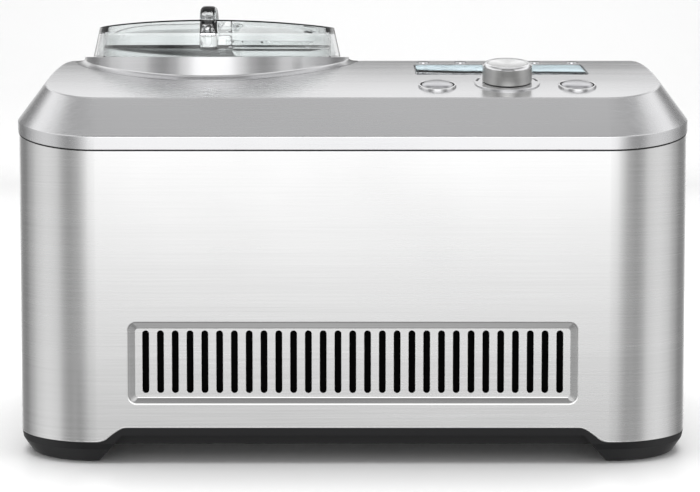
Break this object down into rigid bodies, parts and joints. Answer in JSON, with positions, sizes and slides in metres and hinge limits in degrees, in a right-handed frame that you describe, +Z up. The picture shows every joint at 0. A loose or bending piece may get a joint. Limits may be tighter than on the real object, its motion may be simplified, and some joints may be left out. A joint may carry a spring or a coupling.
{
  "type": "ice cream maker",
  "caption": "Countertop compressor ice cream maker: brushed steel box on corner feet, round bowl well with clear lid on the left, display, dial and buttons on the right.",
  "frame": {"origin": "on the surface it stands on, under the middle of its outline", "axes": "+X to the right of a person facing the front, +Y to the back, +Z up"},
  "size_m": [0.4, 0.286, 0.266],
  "materials": {
    "black_plastic": "fine moulded texture",
    "brushed_wrap": "long level brushing",
    "satin_cover": "satin, faint brushing",
    "collar_steel": "brushed round",
    "zinc_screws": "zinc plated",
    "black_rubber": "matt",
    "foot_rubber": "matt",
    "clear_rubber": "soft, milky",
    "well_alloy": "spun",
    "bowl_alloy": "hard anodised",
    "coil_copper": "drawn tube",
    "pipe_copper": "drawn tube",
    "foam": "skinned foam",
    "grey_plastic": "moulded",
    "gear_plastic": "moulded",
    "ground_steel": "ground",
    "plated_steel": "zinc plated",
    "bush_bronze": "sintered",
    "paddle_plastic": "moulded",
    "lid_clear": "clear moulding",
    "window_clear": "clear moulding",
    "lcd_panel": "pale blue display",
    "board_green": "solder mask",
    "switch_plastic": "moulded",
    "ring_steel": "satin",
    "dial_alloy": "turned",
    "spun_disc": "spun",
    "polished_ring": "polished",
    "button_chrome": "satin chrome",
    "compressor_black": "black paint",
    "condenser_fins": "rolled fins"
  },
  "bodies": {
    "housing": {"base_tray": "black_plastic", "body_wrap": "brushed_wrap", "bowl_collar": "collar_steel", "button_rings": "polished_ring", "button_switches": "switch_plastic", "compressor": "compressor_black", "compressor_mounts": "black_rubber", "condenser": "condenser_fins", "control_board": "board_green", "cord_gland": "black_plastic", "cover_seal": "black_rubber", "dial_encoder": "switch_plastic", "dial_ring": "ring_steel", "evaporator_coil": "coil_copper", "fan_frame": "black_plastic", "filter_drier": "pipe_copper", "foot_pad_front_left": "foot_rubber", "foot_pad_front_right": "foot_rubber", "foot_pad_rear_left": "foot_rubber", "foot_pad_rear_right": "foot_rubber", "freezer_well": "well_alloy", "gearbox_case": "grey_plastic", "gearbox_lid": "grey_plastic", "gearbox_screws": "zinc_screws", "idler_pin": "ground_steel", "lcd_module": "lcd_panel", "lcd_window": "window_clear", "main_board": "board_green", "motor_case": "plated_steel", "rear_panel": "black_plastic", "rear_screws": "zinc_screws", "refrigerant_pipes": "pipe_copper", "shaft_bush": "bush_bronze", "shaft_seal": "black_rubber", "top_cover": "satin_cover", "well_gasket": "black_rubber", "well_insulation": "foam"},
    "bowl": {"ice_bowl": "bowl_alloy"},
    "bail": {"bowl_bail": "ground_steel"},
    "paddle": {"paddle": "paddle_plastic"},
    "lid": {"lid": "lid_clear", "lid_handle": "lid_clear", "lid_seal": "clear_rubber", "hatch_pins": "ground_steel"},
    "hatch": {"lid_hatch": "lid_clear"},
    "drive": {"drive_shaft": "ground_steel", "output_gear": "gear_plastic"},
    "idler": {"idler_gear": "gear_plastic"},
    "rotor": {"motor_rotor": "ground_steel"},
    "fan": {"fan_rotor": "black_plastic"},
    "dial": {"dial_knob": "dial_alloy", "dial_cap": "spun_disc"},
    "power_button": {"power_button": "button_chrome"},
    "start_button": {"start_button": "button_chrome"},
    "mode_button_1": {"mode_button_1": "button_chrome"},
    "mode_button_2": {"mode_button_2": "button_chrome"},
    "mode_button_3": {"mode_button_3": "button_chrome"},
    "mode_button_4": {"mode_button_4": "button_chrome"},
    "mode_button_5": {"mode_button_5": "button_chrome"}
  },
  "joints": [
    {"name": "bowl_lift", "type": "slide", "parent": "housing", "child": "bowl", "axis": [0, 0, 1], "range_m": [0, 0.2]},
    {"name": "lid_lift", "type": "slide", "parent": "bowl", "child": "lid", "axis": [0, 0, 1], "range_m": [0, 0.15]},
    {"name": "hatch_hinge", "type": "hinge", "parent": "lid", "child": "hatch", "pos_m": [-0.0775, 0, 0.2438], "axis": [0, -1, 0], "range_deg": [0, 85]},
    {"name": "bail_swing", "type": "hinge", "parent": "bowl", "child": "bail", "pos_m": [-0.0875, 0, 0.224], "axis": [-1, 0, 0], "range_deg": [0, 90]},
    {"name": "paddle_spin", "type": "hinge", "parent": "bowl", "child": "paddle", "pos_m": [-0.0875, 0, 0.15], "axis": [0, 0, 1], "continuous": true},
    {"name": "drive_spin", "type": "hinge", "parent": "housing", "child": "drive", "pos_m": [-0.0875, 0, 0.1], "axis": [0, 0, 1], "continuous": true},
    {"name": "idler_spin", "type": "hinge", "parent": "housing", "child": "idler", "pos_m": [-0.0275, 0, 0.04], "axis": [0, 0, 1], "continuous": true},
    {"name": "rotor_spin", "type": "hinge", "parent": "housing", "child": "rotor", "pos_m": [0.00625, 0, 0.06], "axis": [0, 0, 1], "continuous": true},
    {"name": "fan_spin", "type": "hinge", "parent": "housing", "child": "fan", "pos_m": [0.088, -0.092, 0.0555], "axis": [0, 1, 0], "continuous": true},
    {"name": "dial_turn", "type": "hinge", "parent": "housing", "child": "dial", "pos_m": [0.092, -0.096, 0.21956], "axis": [0, -0.226, 0.9741], "continuous": true},
    {"name": "power_press", "type": "slide", "parent": "housing", "child": "power_button", "axis": [0, 0.242, -0.9703], "range_m": [0, 0.001], "stiffness_N_per_m": 400, "springref_m": -0.0005},
    {"name": "start_press", "type": "slide", "parent": "housing", "child": "start_button", "axis": [0, 0.242, -0.9703], "range_m": [0, 0.001], "stiffness_N_per_m": 400, "springref_m": -0.0005},
    {"name": "mode_press_1", "type": "slide", "parent": "housing", "child": "mode_button_1", "axis": [0, 0.074, -0.9973], "range_m": [0, 0.001], "stiffness_N_per_m": 400, "springref_m": -0.0005},
    {"name": "mode_press_2", "type": "slide", "parent": "housing", "child": "mode_button_2", "axis": [0, 0.074, -0.9973], "range_m": [0, 0.001], "stiffness_N_per_m": 400, "springref_m": -0.0005},
    {"name": "mode_press_3", "type": "slide", "parent": "housing", "child": "mode_button_3", "axis": [0, 0.074, -0.9973], "range_m": [0, 0.001], "stiffness_N_per_m": 400, "springref_m": -0.0005},
    {"name": "mode_press_4", "type": "slide", "parent": "housing", "child": "mode_button_4", "axis": [0, 0.074, -0.9973], "range_m": [0, 0.001], "stiffness_N_per_m": 400, "springref_m": -0.0005},
    {"name": "mode_press_5", "type": "slide", "parent": "housing", "child": "mode_button_5", "axis": [0, 0.074, -0.9973], "range_m": [0, 0.001], "stiffness_N_per_m": 400, "springref_m": -0.0005}
  ],
  "couplings": [
    {"joint": "bail_swing", "follows": "lid_lift", "rad_per_m": 10.47},
    {"joint": "paddle_spin", "follows": "drive_spin", "ratio": 1},
    {"joint": "idler_spin", "follows": "drive_spin", "ratio": -1.6667},
    {"joint": "rotor_spin", "follows": "drive_spin", "ratio": 3.3333}
  ]
}
